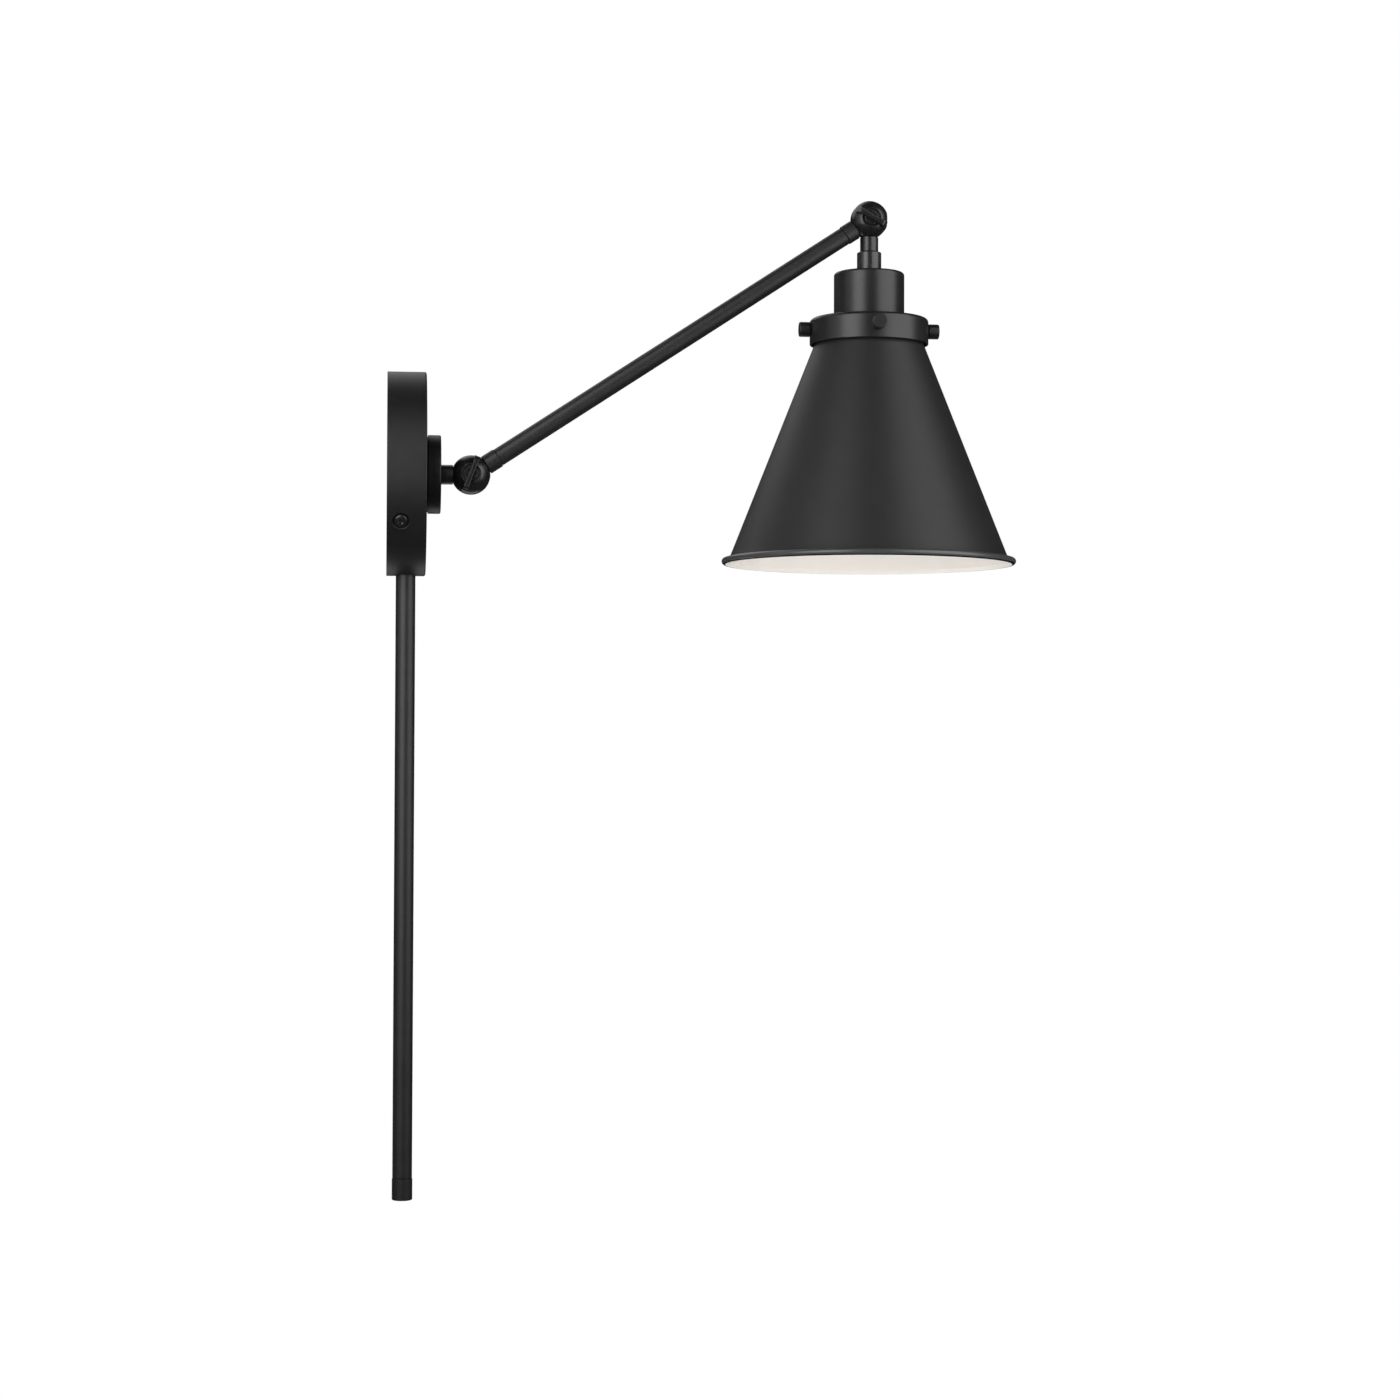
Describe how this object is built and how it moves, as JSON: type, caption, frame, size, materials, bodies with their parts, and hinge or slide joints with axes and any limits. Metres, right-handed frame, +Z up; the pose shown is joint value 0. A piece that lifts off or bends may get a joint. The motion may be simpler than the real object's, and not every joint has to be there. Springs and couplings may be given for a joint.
{
  "type": "swing arm wall sconce",
  "caption": "Black swing arm wall sconce with a round canopy, cord cover tube, ball knuckles with winged keys and a cone metal shade lined in white.",
  "frame": {"origin": "centre of the wall plate's back face, on the wall", "axes": "+X out of the wall, +Z up, +Y away from the side with the winged keys"},
  "size_m": [0.3965, 0.186, 0.6279],
  "materials": {
    "satin_black": "satin black powder coat with a fine texture",
    "gloss_black": "smooth semi-gloss black paint",
    "shade_paint": "soft satin black outside, warm white enamel inside",
    "zinc_steel": "bright zinc plate",
    "ground_green": "green dyed screw",
    "brass": "plain brass",
    "nickel": "nickel plate",
    "phenolic": "moulded phenolic",
    "connector_plastic": "orange moulded plastic",
    "black_insulation": "black wire insulation",
    "white_insulation": "white wire insulation",
    "red_fibre": "vulcanised fibre",
    "frosted_glass": "soft white frosted glass"
  },
  "bodies": {
    "wall_side": {"wall_plate": "zinc_steel", "ground_screw": "ground_green", "canopy": "satin_black", "canopy_screw_near": "satin_black", "canopy_screw_far": "satin_black", "swivel_boss": "satin_black", "boss_screw_upper": "zinc_steel", "boss_screw_lower": "zinc_steel", "cord_cover_tube": "satin_black", "cord_cover_locknut": "zinc_steel", "cord_outlet_ferrule": "satin_black", "live_lead": "black_insulation", "neutral_lead": "white_insulation", "live_wire_connector": "connector_plastic", "neutral_wire_connector": "connector_plastic"},
    "stem": {"lower_knuckle": "gloss_black", "swivel_washer": "zinc_steel", "swivel_nut": "zinc_steel", "lower_friction_washer_near": "red_fibre", "lower_friction_washer_far": "red_fibre"},
    "lower_key": {"lower_winged_key": "gloss_black"},
    "arm": {"lower_tongue": "satin_black", "arm_tube": "satin_black", "arm_cable": "black_insulation", "upper_tongue": "satin_black"},
    "head": {"upper_knuckle": "gloss_black", "neck_washer": "zinc_steel", "neck_nut": "zinc_steel", "upper_friction_washer_near": "red_fibre", "upper_friction_washer_far": "red_fibre"},
    "upper_key": {"upper_winged_key": "gloss_black"},
    "shade_head": {"neck_coupling": "gloss_black", "socket_cup": "satin_black", "collar_lock_ring": "zinc_steel", "shade_collar": "satin_black", "shade": "shade_paint", "lampholder_bracket": "zinc_steel", "lampholder_body": "phenolic", "lampholder_screw_shell": "brass", "lampholder_contact": "brass", "lampholder_screw_outer": "zinc_steel", "lampholder_screw_inner": "zinc_steel", "live_socket_lead": "black_insulation", "neutral_socket_lead": "white_insulation", "bulb_cap": "nickel", "bulb_glass": "frosted_glass"},
    "near_thumbscrew": {"thumbscrew_near": "satin_black"},
    "far_thumbscrew": {"thumbscrew_far": "satin_black"},
    "inner_thumbscrew": {"thumbscrew_inner": "satin_black"},
    "outer_thumbscrew": {"thumbscrew_outer": "satin_black"}
  },
  "joints": [
    {"name": "arm_swivel", "type": "hinge", "parent": "wall_side", "child": "stem", "pos_m": [0.0334, 0, 0], "axis": [1, 0, 0], "range_deg": [-165, 165]},
    {"name": "lower_key_turn", "type": "hinge", "parent": "stem", "child": "lower_key", "pos_m": [0.0522, 0, 0], "axis": [0, -1, 0], "range_deg": [0, 180]},
    {"name": "arm_tilt", "type": "hinge", "parent": "stem", "child": "arm", "pos_m": [0.0522, 0, 0], "axis": [0, -1, 0], "range_deg": [-78, 41]},
    {"name": "head_tilt", "type": "hinge", "parent": "arm", "child": "head", "pos_m": [0.3035, 0, 0.1655], "axis": [0, -1, 0], "range_deg": [0, 135]},
    {"name": "upper_key_turn", "type": "hinge", "parent": "head", "child": "upper_key", "pos_m": [0.3035, 0, 0.1655], "axis": [0, -1, 0], "range_deg": [0, 180]},
    {"name": "shade_swivel", "type": "hinge", "parent": "head", "child": "shade_head", "pos_m": [0.3035, 0, 0.1452], "axis": [0, 0, 1], "range_deg": [-165, 165]},
    {"name": "near_thumbscrew_travel", "type": "slide", "parent": "shade_head", "child": "near_thumbscrew", "axis": [0, -1, 0], "range_m": [0, 0.0024]},
    {"name": "far_thumbscrew_travel", "type": "slide", "parent": "shade_head", "child": "far_thumbscrew", "axis": [0, 1, 0], "range_m": [0, 0.0024]},
    {"name": "inner_thumbscrew_travel", "type": "slide", "parent": "shade_head", "child": "inner_thumbscrew", "axis": [-1, 0, 0], "range_m": [0, 0.0024]},
    {"name": "outer_thumbscrew_travel", "type": "slide", "parent": "shade_head", "child": "outer_thumbscrew", "axis": [1, 0, 0], "range_m": [0, 0.0024]}
  ]
}
